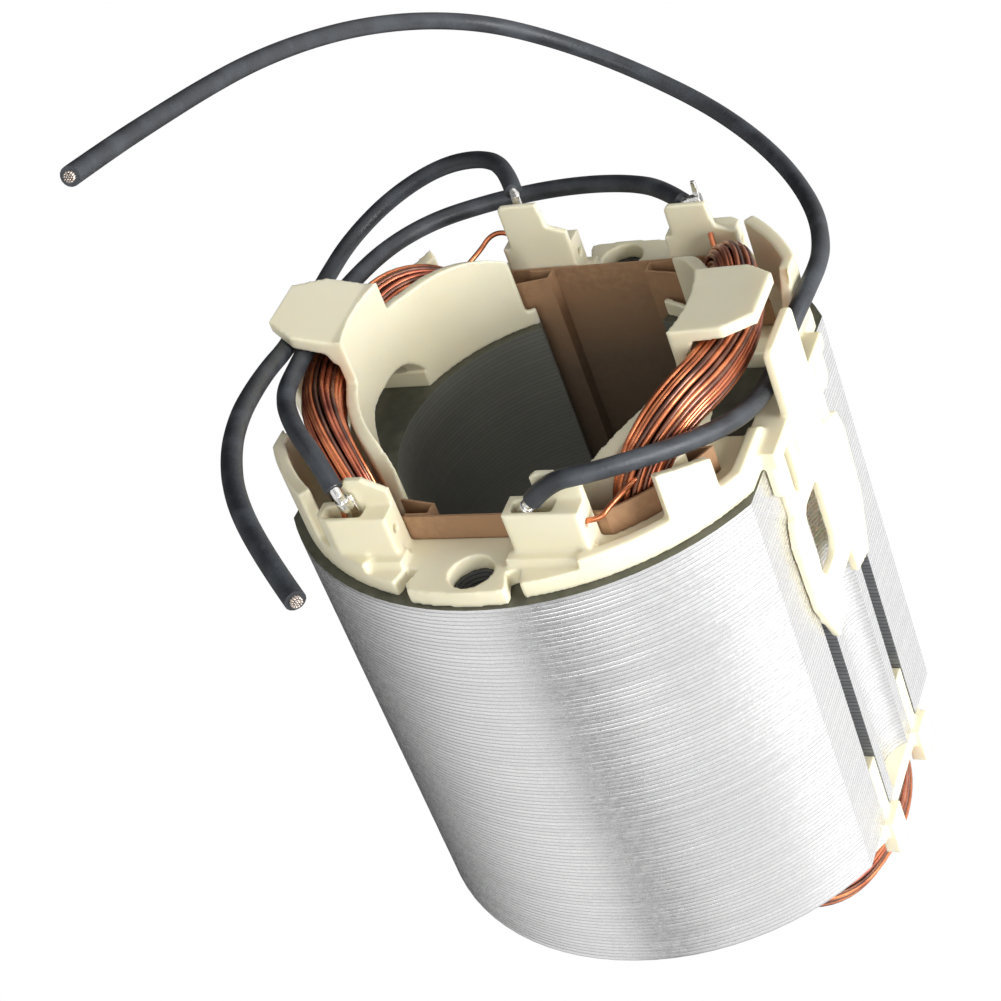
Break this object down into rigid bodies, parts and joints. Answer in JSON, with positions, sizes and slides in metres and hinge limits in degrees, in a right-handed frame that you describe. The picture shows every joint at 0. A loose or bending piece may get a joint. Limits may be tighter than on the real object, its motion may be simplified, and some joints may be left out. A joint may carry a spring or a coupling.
{
  "type": "field stator",
  "caption": "Two-pole universal motor field stator: laminated steel stack, cream end frames, saddle coils, slot paper and black leads.",
  "frame": {"origin": "on the shaft axis, at the lowest edge of the lower end frame", "axes": "+Z along the shaft axis towards the terminal end, poles on +X and -X, -Y towards the pictured front"},
  "size_m": [0.058, 0.1129, 0.1122],
  "materials": {
    "lamination_steel": "stacked sheet edges, satin, dark coated end faces",
    "cream_nylon": "semi-gloss moulded nylon, slightly translucent",
    "enamelled_copper": "enamelled copper magnet wire, glossy",
    "slot_paper": "tan-brown insulating paper, matte",
    "tinned_contact": "bright tin plate",
    "lead_insulation": "matte black insulation",
    "lead_strand": "tinned copper strands"
  },
  "bodies": {
    "root": {"lamination_stack": "lamination_steel", "upper_end_frame": "cream_nylon", "lower_end_frame": "cream_nylon", "field_coil_left": "enamelled_copper", "field_coil_right": "enamelled_copper", "slot_liner_front": "slot_paper", "slot_liner_back": "slot_paper", "slot_closer_front_left": "slot_paper", "slot_closer_front_right": "slot_paper", "slot_closer_back_left": "slot_paper", "slot_closer_back_right": "slot_paper", "contact_front_left": "tinned_contact", "contact_front_right": "tinned_contact", "contact_back_left": "tinned_contact", "contact_back_right": "tinned_contact", "supply_lead": "lead_insulation", "supply_lead_core": "lead_strand", "brush_lead": "lead_insulation", "brush_lead_core": "lead_strand", "jumper_lead": "lead_insulation"}
  },
  "joints": []
}
